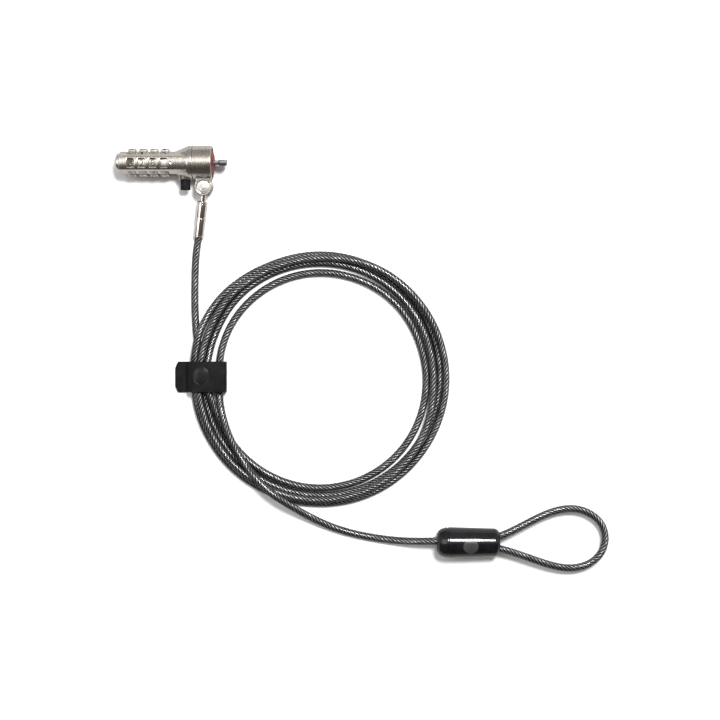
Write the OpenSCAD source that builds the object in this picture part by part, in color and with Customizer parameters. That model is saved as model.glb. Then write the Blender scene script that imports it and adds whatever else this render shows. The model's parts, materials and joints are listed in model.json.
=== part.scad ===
// Laptop cable lock: a four-dial T-bar lock head on a swivel collar, and a coiled
// jacketed wire rope that ends in a sleeved loop. The origin is the centre of the
// collar's front face. +X points out of that face, +Z up off the table.

/* [Lock head] */
// Radius of the collar and of the widest part of the head
head_r = 8.4; // [7.5:0.1:10]
// Radius of the barrel over its top and bottom bands
barrel_r = 8.3; // [7.4:0.1:9.8]
// Half width of the barrel between its flat sides
barrel_half_width = 5.5; // [5:0.1:6.5]
// Length of the head from the front face to the back of the barrel
head_length = 45; // [45:0.5:48]
// Turn of the whole head about its axis, as it lies on a table
roll = 8.6; // [0:0.1:15]

/* [Dials] */
// Outer radius of each number dial
dial_r = 6.9; // [6.2:0.1:7.2]
// Width of each number dial
dial_width = 3.6; // [3:0.1:3.8]
// Distance from one dial to the next
dial_pitch = 5.4; // [5.2:0.1:5.4]
// Position of the front dial behind the front face
front_dial_x = 23.1; // [22.9:0.1:23.1]

/* [T-bar] */
// Length of the T-bar's crosspiece, which goes through a 3 by 7 mm slot
tbar_length = 6.6; // [6:0.1:6.8]
// Thickness of the T-bar's crosspiece
tbar_thickness = 2.8; // [2.2:0.1:2.8]
// How far the T-bar stands out of the front face
tbar_reach = 6.9; // [6:0.1:8]

/* [Button] */
// Radius of the push button
button_r = 2.45; // [2.3:0.05:2.6]
// How far the outer end of the button is from the head's axis
button_reach = 13.5; // [12.8:0.1:14.5]

/* [Neck] */
// Radius of the two ears that hold the neck
ear_r = 4.3; // [4:0.1:4.4]
// Distance of the neck's pin from the head's axis
pin_drop = 11.9; // [11.8:0.1:12.5]
// Sideways lean of the neck
neck_lean = 7.3; // [0:0.1:15]

/* [Cable] */
// Outside radius of the clear jacket
cable_r = 1.85; // [1.5:0.05:1.85]
// Radius of the wire rope inside the jacket
rope_r = 1.3; // [1:0.05:1.35]
// Cross-sections along the cable for each turn of the coil
steps_per_turn = 48; // [36:4:60]

/* [Strap and sleeve] */
// Width of the strap along the cable
strap_width = 15.2; // [12:0.1:18]
// Length of the black sleeve at the loop
sleeve_length = 31; // [29:0.5:34]
// Radius of the sleeve at its big end
sleeve_r = 7.6; // [7.2:0.1:8]

/* [Hidden] */
$fn = 64;
table_z = -8.4;
dial_x = [for (k = [3:-1:0]) -front_dial_x - k * dial_pitch];
slot_half = dial_width / 2 + 0.1;
back_x = -head_length;
// ends of the wheel sleeve, and how far its lugs are turned clear of the dials' notches
sleeve_back = dial_x[0] - 2.15;
sleeve_front = dial_x[3] + 2.6;
lug_turn = 18;
button_x = -13.6;
pin_x = -4.4;
// the button's travel turns the pinion, by its rack, a quarter turn
button_travel = 3;
pitch_r = 2 * button_travel / PI;
// middle of the coil, and height of a cable lying on the table
coil_x = 53.15;
coil_y = -107;
rest_z = table_z + 1.95;
strap_y = -105.7;
strap_left = -19.3;
sleeve_x = 110.7;
sleeve_y = -187.5;
sleeve_z = table_z + 7.6;

// ---- placing ----

// everything in the head is drawn square to its own axis, then rolled
module rolled() {
  rotate([roll, 0, 0]) children();
}

// a cylinder along X from x0 to x1
module xcyl(r, x0, x1, r2 = -1) {
  translate([x0, 0, 0])
    rotate([0, 90, 0])
      cylinder(h = x1 - x0, r1 = r, r2 = r2 < 0 ? r : r2);
}

// a box from one corner to the opposite one
module span(a, b) {
  translate(a) cube([b[0] - a[0], b[1] - a[1], b[2] - a[2]]);
}

// a ring along X
module xring(ro, ri, x0, x1) {
  difference() {
    xcyl(ro, x0, x1);
    xcyl(ri, x0 - 1, x1 + 1);
  }
}

// a cylinder outwards along the button's axis, from u0 to u1 off the head's axis
module ucyl(r, u0, u1, r2 = -1) {
  translate([button_x, -u0, 0])
    rotate([90, 0, 0])
      cylinder(h = u1 - u0, r1 = r, r2 = r2 < 0 ? r : r2);
}

// the neck's own frame: Z runs from the pin down the ferrule
module neck() {
  rolled()
    translate([pin_x, -pin_drop, 0])
      rotate([0, 0, -neck_lean])
        rotate([90, 0, 0])
          children();
}

// ---- lock body ----

module barrel_profile() {
  polygon([[2.5, 9.33], [barrel_half_width, 2.9], [barrel_half_width, -2.9], [2.5, -9.33],
    [-2.5, -9.33], [-barrel_half_width, -2.9], [-barrel_half_width, 2.9], [-2.5, 9.33]]);
}

// the shape of the rack arm's path and of its wedge, seen along Z
module wing_path() {
  polygon([[-12.0, -3.4], [-12.0, 5.35], [-14.5, 5.35], [-17.4, -0.3], [-17.4, -3.4]]);
}

module lock_body() {
  color([0.62, 0.59, 0.55])
    rolled() difference() {
    union() {
      intersection() {
        xcyl(barrel_r, back_x, -11.6);
        translate([back_x, 0, 0])
          rotate([90, 0, 90])
            linear_extrude(head_length - 11.6) barrel_profile();
      }
      xcyl(barrel_half_width, -18.6, -11.6, head_r);
      xcyl(head_r, -11.6, -9.6);
      xcyl(6.0, -9.6, -0.9);
      ucyl(4.1, 4, 8.1, 3.6);
    }
    // dial slots and the windows over them
    for (x = dial_x) {
      xcyl(dial_r + 0.1, x - slot_half, x + slot_half);
      span([x - 1.6, -2.15, 5.5], [x + 1.6, 2.15, 9]);
    }
    // bore of the wheel sleeve with a channel for its lugs, and bore of the spindle's nose
    xcyl(3.0, back_x - 1, sleeve_front + 0.1);
    rotate([lug_turn, 0, 0])
      span([back_x - 1, -0.7, -3.75], [sleeve_front + 0.1, 0.7, 0]);
    xcyl(2.3, sleeve_front, -16.3);
    // channel for the spindle's fins and key
    span([back_x - 1, -0.8, 0], [-16.35, 0.8, 4.15]);
    // seat of the rear plug
    xcyl(4.4, back_x - 1, back_x + 1.8);
    // groove of the detent spring
    span([-41.4, -1.3, -7.7], [-20.9, 1.3, -5]);
    // way through for the nose of the spindle and the tail of the T-bar
    xcyl(1.1, -17, -15);
    span([-16.5, -0.8, 2.3], [-15, 0.8, 3.6]);
    // pinion chamber, rack arm's path and wedge's path
    xcyl(2.45, -15.5, -11.7);
    span([-15.2, -5.4, 1.45], [-12.0, 5.35, 3.5]);
    translate([0, 0, 2.4]) linear_extrude(1.1) wing_path();
    // guide bore of the button
    ucyl(2.55, 3.0, 10);
    // bearing of the T-bar
    xcyl(1.55, -12, 1);
    // groove of the retaining ring and seat of the guide plate
    xring(8, 5.4, -2.2, -1.5);
    xcyl(5.15, -1.7, 1);
    // small index dot beside the front window
    translate([-19.5, 0, 8.0]) cylinder(h = 1, r = 0.35);
  }
}

module rear_plug() {
  color([0.55, 0.53, 0.5])
    rolled() xring(4.35, 1.65, back_x + 0.05, back_x + 1.75);
}

module reset_knob() {
  color([0.72, 0.71, 0.68])
    rolled() difference() {
    union() {
      translate([back_x, 0, 0]) rotate([0, -90, 0]) rotate_extrude()
        polygon([[0, 0.1], [4.85, 0.1], [4.85, 1.2], [4.7, 1.8], [4.25, 2.4],
          [3.4, 2.85], [2.2, 3.05], [0, 3.1]]);
      // stem through the rear plug, its stop, and the screw that moves the wheel sleeve
      xcyl(1.6, back_x - 0.2, back_x + 1.9);
      xcyl(2.1, back_x + 1.8, back_x + 2.0);
      xcyl(1.3, back_x + 1.9, dial_x[0] - 1.0);
    }
    // coin slot across the end, and a setting hole in the rim
    span([back_x - 4, -0.45, -6], [back_x - 2.2, 0.45, 6]);
    translate([back_x - 1.7, -1.2, 0]) cylinder(h = 6, r = 0.45);
  }
}

// ---- dials and code wheels ----

module dial(x) {
  color([0.7, 0.68, 0.64])
    rolled() difference() {
    xcyl(dial_r, x - dial_width / 2, x + dial_width / 2);
    xcyl(4.95, x - 3, x + 3);
    for (k = [0:9])
      rotate([18 + 36 * k, 0, 0])
        translate([x - 3, 0, dial_r + 0.55])
          rotate([0, 90, 0])
            cylinder(h = 6, r = 0.9);
    // notch for the code wheel's key, and the clear ring it moves into for a new code
    span([x + 0.3, -0.65, -5.7], [x + 3, 0.65, -4]);
    xcyl(5.75, x - 3, x + 0.4);
  }
}

// a code wheel: its gate is at the top, its key at the bottom
module code_wheel(x) {
  color([0.7, 0.58, 0.3])
    rolled() difference() {
    union() {
      xcyl(4.9, x - 0.3, x + 1.8);
      span([x + 0.75, -0.6, -5.6], [x + 1.8, 0.6, -4]);
    }
    xcyl(2.95, x - 3, x + 3);
    span([x - 3, -0.85, 0], [x + 3, 0.85, 4.15]);
  }
}

// the sleeve the code wheels turn on: a lug on each side of a wheel carries it along
module wheel_sleeve() {
  color([0.5, 0.5, 0.52])
    rolled() difference() {
    union() {
      xcyl(2.9, sleeve_back, sleeve_front);
      rotate([lug_turn, 0, 0])
        for (x = dial_x) {
          span([x + 1.85, -0.6, -3.65], [x + 2.55, 0.6, -2.5]);
          span([x - 1.05, -0.6, -3.65], [x - 0.35, 0.6, -2.5]);
        }
    }
    xcyl(2.3, sleeve_back + 1.0, sleeve_front + 1);
    xcyl(1.35, sleeve_back - 1, sleeve_back + 2);
    // slot for the spindle's fins
    span([dial_x[0] + 0.3, -0.75, 0], [sleeve_front + 1, 0.75, 4]);
  }
}

// ---- spindle ----

module spindle() {
  color([0.5, 0.5, 0.5])
    rolled() difference() {
    union() {
      xcyl(2.2, dial_x[0] + 0.6, -16.5);
      for (x = dial_x)
        span([x + dial_pitch / 2 - 0.65, -0.65, 1.5], [x + dial_pitch / 2 + 0.65, 0.65, 3.95]);
      span([-19.8, -0.65, 1.5], [-16.6, 0.65, 3.35]);
      translate([0, 0, 2.42])
        linear_extrude(0.93)
          polygon([[-17, -0.65], [-15.995, -0.65], [-15.345, 0.65], [-17, 0.65]]);
    }
    xcyl(1.1, -21, -16);
    xcyl(1.4, -42, -33);
  }
}

// a coil spring along Z from z0 to z1: r to the wire's middle, w the wire's radius
module spring(r, w, z0, z1, turns) {
  n = 12 * turns;
  pts = [for (i = [0:n]) for (k = [0:4])
    let (a = 360 * i / 12, b = 72 * k, q = r + w * cos(b))
    [q * cos(a), q * sin(a), z0 + w + (z1 - z0 - 2 * w) * i / n + w * sin(b)]];
  polyhedron(points = pts, faces = concat([[4, 3, 2, 1, 0]],
    [for (i = [0:n - 1]) for (k = [0:4]) [5 * i + k, 5 * i + (k + 1) % 5, 5 * i + 5 + (k + 1) % 5]],
    [for (i = [0:n - 1]) for (k = [0:4]) [5 * i + k, 5 * i + 5 + (k + 1) % 5, 5 * i + 5 + k]],
    [[for (k = [0:4]) 5 * n + k]]));
}

module spindle_spring() {
  color([0.6, 0.6, 0.6])
    rolled() rotate([0, 90, 0]) spring(1.12, 0.2, dial_x[0] - 0.96, -33.05, 6);
}

module detent_spring() {
  color([0.6, 0.6, 0.6])
    rolled() union() {
    span([-41.2, -1.1, -7.62], [-21.1, 1.1, -7.35]);
    for (x = dial_x)
      intersection() {
        translate([x, 0.8, -7.5])
          rotate([90, 0, 0])
            cylinder(h = 1.6, r = 0.45);
        span([x - 1, -1, -7.62], [x + 1, 1, -6]);
      }
  }
}

// ---- button, rack and pinion ----

module rack_tooth(y) {
  translate([-15.1, y, 0])
    rotate([90, 0, 90])
      linear_extrude(3.0)
        polygon([[-0.36, 2.6], [-0.36, 2.37], [-0.12, 1.7], [0.12, 1.7], [0.36, 2.37], [0.36, 2.6]]);
}

module push_button() {
  color([0.08, 0.08, 0.09])
    rolled() union() {
    difference() {
      union() {
        ucyl(button_r, 6.4, button_reach - 0.3);
        ucyl(button_r, button_reach - 0.3, button_reach, button_r - 0.3);
      }
      ucyl(1.45, 6, 12.1);
    }
    // neck of the arm, inside the guide bore
    intersection() {
      ucyl(button_r, 4.7, 6.6);
      span([-15.1, -6.6, 1.5], [-12.1, -4.7, 3]);
    }
    // rack arm with its teeth, and the wedge beside it
    span([-15.1, -5.3, 2.37], [-12.1, 2.2, 3.4]);
    for (k = [0:5]) rack_tooth(1.8 - 1.2 * k);
    span([-15.1, -5.3, 1.7], [-12.1, -4.66, 2.6]);
    translate([0, 0, 2.5])
      linear_extrude(0.9)
        polygon([[-13, -3.3], [-13, 2.2], [-14.5, 2.2], [-17.25, -3.3]]);
  }
}

module button_spring() {
  color([0.6, 0.6, 0.6])
    rolled() translate([button_x, 0, 0])
    rotate([90, 0, 0])
      spring(1.15, 0.2, 3.05, 12.05, 6);
}

module t_bar() {
  color([0.3, 0.3, 0.31])
    rolled() union() {
    xcyl(1.0, -18.9, -11.9);
    xcyl(1.5, -11.95, 0);
    xcyl(1.05, -0.1, 4);
    intersection() {
      xcyl(tbar_length / 2, 3.5, tbar_reach);
      span([3.4, -tbar_thickness / 2, -5], [tbar_reach + 1, tbar_thickness / 2, 5]);
    }
  }
}

module pinion() {
  color([0.45, 0.45, 0.45])
    rolled() difference() {
    union() {
      xcyl(1.42, -15.15, -12.05);
      for (k = [0:9])
        rotate([36 * k, 0, 0])
          translate([-15.15, 0, 0])
            rotate([90, 0, 90])
              linear_extrude(3.1)
                polygon([[-0.26, 1.3], [-0.26, 1.42], [-0.2, pitch_r], [-0.08, 2.15],
                  [0.08, 2.15], [0.2, pitch_r], [0.26, 1.42], [0.26, 1.3]]);
    }
    xcyl(1.02, -17, -10);
  }
}

// ---- front of the head ----

module guide_plate() {
  color([0.35, 0.35, 0.36])
    rolled() union() {
    xring(5.1, 1.6, -1.65, -0.9);
    for (s = [-1, 1])
      intersection() {
        xcyl(3.25, -1.2, 3.0);
        span([-1.2, -1.15, s * 2.5 - 0.8], [3.0, 1.15, s * 2.5 + 0.8]);
      }
  }
}

module face_pad() {
  color([0.72, 0.13, 0.14])
    rolled() difference() {
    union() {
      xcyl(5.9, -0.85, -0.1);
      xcyl(5.9, -0.1, 1.0, 3.9);
    }
    xcyl(1.6, -2, 2);
    for (s = [-1, 1])
      span([-2, -1.2, s * 2.5 - 0.85], [2, 1.2, s * 2.5 + 0.85]);
  }
}

module retaining_ring() {
  color([0.4, 0.4, 0.4])
    rolled() xring(7.2, 5.45, -2.15, -1.55);
}

// ---- swivel collar and neck ----

module swivel_collar() {
  color([0.62, 0.59, 0.55])
    rolled() difference() {
    union() {
      xcyl(head_r, -9.5, -0.4);
      xcyl(head_r, -0.4, 0, head_r - 0.4);
      for (s = [-1, 1])
        translate([0, 0, s * 2.975 - 1.225]) {
          translate([pin_x, -pin_drop, 0]) cylinder(h = 2.45, r = ear_r);
          span([pin_x - 3.6, -pin_drop, 0], [pin_x + 3.6, -6.8, 2.45]);
        }
    }
    xcyl(6.1, -10, 1);
    xcyl(7.5, -2.3, 1);
    translate([pin_x, -pin_drop, -6]) cylinder(h = 12, r = 1.2);
    for (s = [-1, 1])
      translate([pin_x, -pin_drop, s * 4.2 - 0.5]) cylinder(h = 1, r = 3.2);
  }
}

module seal_ring() {
  color([0.06, 0.06, 0.06])
    rolled() xring(7.45, 6.15, -1.4, -0.3);
}

module neck_pin() {
  color([0.82, 0.8, 0.76])
    rolled() translate([pin_x, -pin_drop, 0]) union() {
    translate([0, 0, -4]) cylinder(h = 8, r = 1.15);
    for (s = [0, 1]) mirror([0, 0, s])
      translate([0, 0, 3.72]) {
        cylinder(h = 0.4, r = 3.15);
        translate([0, 0, 0.4]) cylinder(h = 0.25, r1 = 3.0, r2 = 2.2);
      }
  }
}

module eye_stem() {
  color([0.8, 0.78, 0.74])
    neck() difference() {
    union() {
      rotate([90, 0, 0]) translate([0, 0, -1.65]) cylinder(h = 3.3, r = 3.3);
      cylinder(h = 10.5, r = 1.4);
      translate([0, 0, 2.4]) cylinder(h = 4.7, r = 1.5);
      translate([0, 0, 10.5]) cylinder(h = 1, r = 1.9);
    }
    rotate([90, 0, 0]) translate([0, 0, -3]) cylinder(h = 6, r = 1.2);
  }
}

module ferrule() {
  color([0.76, 0.73, 0.69])
    neck() difference() {
    union() {
      translate([0, 0, 7.2]) cylinder(h = 0.6, r1 = 2.2, r2 = 2.7);
      translate([0, 0, 7.8]) cylinder(h = 7.0, r1 = 2.7, r2 = 2.64);
      translate([0, 0, 14.8]) cylinder(h = 0.8, r = 2.5);
      translate([0, 0, 15.6]) cylinder(h = 9.1, r1 = 2.64, r2 = 2.52);
      translate([0, 0, 24.7]) cylinder(h = 0.4, r1 = 2.52, r2 = 2.3);
    }
    translate([0, 0, 6]) cylinder(h = 5, r = 1.45);
    translate([0, 0, 10.4]) cylinder(h = 1.3, r = 2.0);
    translate([0, 0, 14.6]) cylinder(h = 12, r = 2.0);
  }
}

// ---- cable ----

// Each row: turns from the strap, radius in the coil, height above the bottom layer.
// The lead-in passes the strap as the second cable of the bottom layer, the first turn
// comes back over it, and each later turn winds in and on top of the one before. The
// last turn leaves as the tail, which climbs over all the others.
lay = [
  [-0.0714, 69.2, 0], [-0.052, 65, 0], [-0.0394, 62.2, 0], [-0.022, 59.7, 0], [0, 58.6, 0],
  [0.06, 58.4, 0], [0.12, 58.1, 0], [0.25, 57.9, 0], [0.4, 58.2, 0], [0.5, 59.2, 0],
  [0.625, 61.2, 0], [0.7, 61.9, 0], [0.75, 62.1, 0], [0.82, 62.3, 0], [0.86, 63.4, 0.1],
  [0.89, 64.2, 0.9], [0.92, 64.3, 2.6], [0.94, 64.1, 3.7], [0.957, 63.8, 3.95],
  [0.974, 63.5, 2.1], [0.99, 63.1, 0.4], [1, 62.9, 0], [1.06, 62.7, 0], [1.11, 62.3, 0],
  [1.17, 61.8, 0], [1.25, 61.6, 0], [1.4, 61.9, 0.9], [1.5, 62.3, 2.5], [1.6, 62.1, 3.9],
  [1.68, 61.7, 3.8], [1.75, 60.3, 3.35], [1.83, 60.3, 3.3], [1.875, 61, 3.3],
  [1.92, 60.5, 3.5], [1.95, 60, 3.65], [1.974, 59.95, 3.95], [2, 60.7, 3.5], [2.1, 60.35, 3.5],
  [2.17, 60.1, 3.45], [2.25, 59.8, 3.35], [2.37, 58.9, 3.9], [2.44, 57.4, 3.6],
  [2.5, 56.1, 2.4], [2.56, 56.5, 1.9], [2.62, 57.2, 0.9], [2.7, 57.9, 0], [2.75, 58.1, 0],
  [2.83, 58.3, 0], [2.875, 58.2, 0], [2.93, 57.2, 0.1], [2.958, 56.8, 1.2], [2.98, 56.5, 2.75],
  [3, 56.6, 3.4], [3.03, 55.3, 2.5], [3.06, 54.55, 0.6], [3.1, 54.3, 0], [3.17, 54.15, 0],
  [3.25, 54.05, 0], [3.4, 53.3, 0], [3.5, 52.6, 0], [3.56, 52.5, 0], [3.62, 53.1, 0],
  [3.7, 53.2, 0], [3.78, 53.2, 0], [3.875, 52.6, 0], [3.93, 51.9, 0], [4, 50.5, 0],
  [4.035, 51.1, 1.7], [4.06, 51.8, 3.9], [4.09, 53.2, 4.5], [4.128, 55.6, 4.7],
  [4.156, 58, 6.6], [4.18, 60.4, 7.3], [4.2, 62.6, 6.9], [4.22, 65.2, 4.8], [4.2375, 68.4, 2.4]];

// smooth value of column c of the table at t turns
function lay_at(t, c) =
  let (n = len(lay),
    i = min(n - 2, max([for (k = [0:n - 2]) if (lay[k][0] <= t + 1e-9) k])),
    a = lay[max(i - 1, 0)], b = lay[i], d = lay[i + 1], e = lay[min(i + 2, n - 1)],
    h = d[0] - b[0], mb = (d[c] - a[c]) / (d[0] - a[0]), md = (e[c] - b[c]) / (e[0] - b[0]),
    u = (t - b[0]) / h)
  (2 * u^3 - 3 * u^2 + 1) * b[c] + (u^3 - 2 * u^2 + u) * h * mb
    + (3 * u^2 - 2 * u^3) * d[c] + (u^3 - u^2) * h * md;

// the bundle is lifted by the strap that passes under it
function strap_lift(t) =
  let (f = abs(t - round(t)), x = min(1, max(0, (f - 0.025) / 0.06)))
  t > 4.1 ? 0 : 1 - x * x * (3 - 2 * x);

function coil_point(t) =
  let (r = lay_at(t, 1), a = 180 + 360 * t)
  [coil_x + r * cos(a), coil_y + r * sin(a), rest_z + lay_at(t, 2) + strap_lift(t)];

// a point s below the neck's pin, on the ferrule's axis
function neck_point(s) =
  let (y = -pin_drop - s * cos(neck_lean))
  [pin_x - s * sin(neck_lean), y * cos(roll), y * sin(roll)];

lead_in = [neck_point(9), neck_point(15), neck_point(24), [-8.9, -45, -6.35],
  [-9.35, -53, rest_z], [-9.5, -61, rest_z], [-9.5, -69, rest_z]];

// tail to the sleeve, through it, round the loop and back into the sleeve
tail = [[59.2, -180.6, rest_z + 0.5], [70, -183.9, rest_z], [81, -186.0, rest_z + 0.2],
  [91, -187.0, rest_z + 1.5], [100, -187.1, rest_z + 4.0], [107.5, -186.9, sleeve_z - 0.35],
  [112, -186.8, sleeve_z], [116.5, -186.7, sleeve_z], [121, -186.0, sleeve_z],
  [125.5, -185.5, sleeve_z], [131, -185.5, sleeve_z], [136.5, -185.5, sleeve_z],
  [141.7, -184.4, sleeve_z - 0.05], [148.5, -181.5, sleeve_z - 0.4],
  [156.0, -177.8, sleeve_z - 0.9], [164.0, -174.0, sleeve_z - 1.4],
  [172.0, -171.5, sleeve_z - 1.9], [180.0, -171.2, sleeve_z - 2.3],
  [187.2, -173.8, sleeve_z - 2.6], [192.6, -178.9, sleeve_z - 2.8],
  [194.5, -185.8, sleeve_z - 2.9], [192.5, -192.8, sleeve_z - 2.8],
  [186.3, -198.3, sleeve_z - 2.5], [177.2, -200.4, sleeve_z - 2.0],
  [168.6, -199.2, sleeve_z - 1.5], [160.0, -196.5, sleeve_z - 1.0],
  [151.5, -193.5, sleeve_z - 0.5], [142.0, -190.6, sleeve_z - 0.05],
  [136.5, -189.45, sleeve_z], [131, -189.45, sleeve_z], [125.5, -189.45, sleeve_z],
  [121, -189.45, sleeve_z]];

// direction at b of the smooth line through a, b and c, and that line between b and c
function dir_at(a, b, c) =
  let (p = norm(b - a), q = norm(c - b))
  (b - a) * q / p / (p + q) + (c - b) * p / q / (p + q);
function between(a, b, c, d, u) =
  let (h = norm(c - b), m = dir_at(a, b, c) * h, k = dir_at(b, c, d) * h)
  (2 * u^3 - 3 * u^2 + 1) * b + (u^3 - 2 * u^2 + u) * m
    + (3 * u^2 - 2 * u^3) * c + (u^3 - u^2) * k;
function smooth_line(p) =
  [for (i = [1:len(p) - 3]) each [p[i], between(p[i - 1], p[i], p[i + 1], p[i + 2], 0.5)]];

t_first = lay[0][0];
t_last = lay[len(lay) - 1][0];
coil_steps = round((t_last - t_first) * steps_per_turn);
coil_line = [for (i = [0:coil_steps]) coil_point(t_first + (t_last - t_first) * i / coil_steps)];
cable_line = concat(
  smooth_line(concat(lead_in, [coil_line[0], coil_line[1]])),
  [for (i = [0:coil_steps - 1]) coil_line[i]],
  smooth_line(concat([coil_line[coil_steps - 1], coil_line[coil_steps]], tail)),
  [tail[len(tail) - 2]]);

// a ring of n points of radius r square to the line at its point i
function ring_at(p, i, r, n) =
  let (m = len(p) - 1,
    g = p[min(i + 1, m)] - p[max(i - 1, 0)], w = g / norm(g),
    s0 = cross(w, [0, 0, 1]), s = s0 / norm(s0), v = cross(s, w))
  [for (k = [0:n - 1]) p[i] + r * (s * cos(360 * (k + 0.5) / n) + v * sin(360 * (k + 0.5) / n))];

// triangles between ring i and ring i + 1 of n points, whose first point is number o
function band(i, n, o) =
  [for (k = [0:n - 1])
    let (a = o + n * i + k, b = o + n * i + (k + 1) % n)
    each [[a, b, b + n], [a, b + n, a + n]]];
function band_in(i, n, o) = [for (f = band(i, n, o)) [f[2], f[1], f[0]]];

module rod(p, r, n) {
  m = len(p);
  polyhedron(
    points = [for (i = [0:m - 1]) each ring_at(p, i, r, n)],
    faces = concat([[for (k = [n - 1:-1:0]) k]],
      [for (i = [0:m - 2]) each band(i, n, 0)],
      [[for (k = [0:n - 1]) n * (m - 1) + k]]));
}

module tube(p, ro, ri, n) {
  m = len(p);
  o = n * m;
  e = n * (m - 1);
  polyhedron(
    points = concat([for (i = [0:m - 1]) each ring_at(p, i, ro, n)],
      [for (i = [0:m - 1]) each ring_at(p, i, ri, n)]),
    faces = concat([for (i = [0:m - 2]) each band(i, n, 0)],
      [for (i = [0:m - 2]) each band_in(i, n, o)],
      [for (k = [0:n - 1]) let (j = (k + 1) % n) each [[j, k, o + k], [j, o + k, o + j]]],
      [for (k = [0:n - 1]) let (j = (k + 1) % n)
        each [[e + k, e + j, o + e + j], [e + k, o + e + j, o + e + k]]]));
}

module wire_rope() {
  color([0.3, 0.31, 0.32])
    rod(cable_line, rope_r, 6);
}

module cable_jacket() {
  color([0.35, 0.37, 0.38, 0.5])
    tube(cable_line, cable_r, 1.45, 8);
}

// ---- loop end ----

module crimp_ferrule() {
  color([0.6, 0.6, 0.62])
    translate([0, sleeve_y + 0.025, sleeve_z]) difference() {
    union() {
      for (s = [-1, 1]) translate([0, s * 1.97, 0]) xcyl(2.9, 124, 136.4);
      span([124, -1.97, -2.9], [136.4, 1.97, 2.9]);
    }
    for (s = [-1, 1]) translate([0, s * 1.975, 0]) xcyl(1.95, 120, 140);
  }
}

module loop_sleeve() {
  x1 = sleeve_x + sleeve_length;
  color([0.03, 0.03, 0.04])
    translate([0, sleeve_y, sleeve_z]) difference() {
    union() {
      // rounded shoulder
      xcyl(sleeve_r - 3.1, sleeve_x, sleeve_x + 1.0, sleeve_r - 1.6);
      xcyl(sleeve_r - 1.6, sleeve_x + 1.0, sleeve_x + 2.4, sleeve_r - 0.75);
      xcyl(sleeve_r - 0.75, sleeve_x + 2.4, sleeve_x + 4.6, sleeve_r - 0.15);
      xcyl(sleeve_r - 0.15, sleeve_x + 4.6, sleeve_x + 5.8, sleeve_r);
      xcyl(sleeve_r, sleeve_x + 5.8, x1 - 1.4, sleeve_r - 0.75);
      xcyl(sleeve_r - 0.75, x1 - 1.4, x1, sleeve_r - 2.0);
    }
    // room for the crimp ferrule, then the bores of the cable and of the loop's two legs
    xcyl(5.0, sleeve_x + 6.5, x1 - 4);
    translate([0, 0.75, 0]) xcyl(2.15, sleeve_x - 1, sleeve_x + 8);
    for (s = [-1, 1]) translate([0, s * 2.95, 0]) xcyl(2.15, x1 - 5, x1 + 1);
    span([x1 - 5, -2.95, -2.15], [x1 + 1, 2.95, 2.15]);
  }
}

// ---- strap ----

// cuts off the two corners at the strap's free end, from its upper edge downwards
module strap_corner_cuts() {
  for (s = [0, 1]) translate([strap_left, -s * strap_width, -9])
    mirror([0, s, 0]) linear_extrude(3)
      polygon([[-0.1, 0.1], [1.3, 0.1], [-0.1, -3.15]]);
}

module strap_band() {
  color([0.1, 0.1, 0.11])
    translate([0, strap_y + strap_width / 2, 0]) difference() {
    rotate([90, 0, 0]) linear_extrude(strap_width)
      polygon([[strap_left, table_z], [6.45, table_z], [6.45, -0.6], [5.25, -0.6],
        [5.25, -7.4], [strap_left, -7.4]]);
    strap_corner_cuts();
  }
}

module strap_stud() {
  color([0.12, 0.12, 0.13])
    translate([-15.4, strap_y, -7.4]) cylinder(h = 0.55, r = 1.1);
}

module strap_flap() {
  color([0.1, 0.1, 0.11])
    translate([0, strap_y + strap_width / 2, 0]) difference() {
    union() {
      rotate([90, 0, 0]) linear_extrude(strap_width)
        polygon([[5.25, -0.5], [5.25, 0.65], [-9.6, 0.65], [-11.75, -3.2], [-11.95, -7.35],
          [strap_left, -7.35], [strap_left, -6.35], [-13.1, -6.35], [-12.95, -3.0], [-10.2, 1.75],
          [5.4, 1.75], [6.45, 0.8], [6.45, -0.5]]);
      translate([-5.5, -strap_width / 2 + 0.4, 1.6]) cylinder(h = 0.55, r1 = 4.5, r2 = 4.1);
    }
    strap_corner_cuts();
    translate([-15.4, -strap_width / 2, -8]) cylinder(h = 1.3, r = 1.65);
  }
}

// ---- every node ----

lock_body();
rear_plug();
reset_knob();
dial(dial_x[0]);  // dial_1
dial(dial_x[1]);  // dial_2
dial(dial_x[2]);  // dial_3
dial(dial_x[3]);  // dial_4
code_wheel(dial_x[0]);  // code_wheel_1
code_wheel(dial_x[1]);  // code_wheel_2
code_wheel(dial_x[2]);  // code_wheel_3
code_wheel(dial_x[3]);  // code_wheel_4
wheel_sleeve();
spindle();
spindle_spring();
detent_spring();
push_button();
button_spring();
t_bar();
pinion();
guide_plate();
face_pad();
retaining_ring();
swivel_collar();
seal_ring();
neck_pin();
eye_stem();
ferrule();
wire_rope();
cable_jacket();
crimp_ferrule();
loop_sleeve();
strap_band();
strap_stud();
strap_flap();
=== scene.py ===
"""The looks of a laptop cable lock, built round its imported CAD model.

Pieces are drawn in millimetres in a frame of their own and placed by a matrix that turns those
millimetres into the row frame's metres: HEAD for the rolled lock head, NECK for the ferrule
below its pin, and TABLE for everything that lies flat.
"""
import json
import math

import bmesh
import bpy
from mathutils import Matrix, Vector


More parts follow.
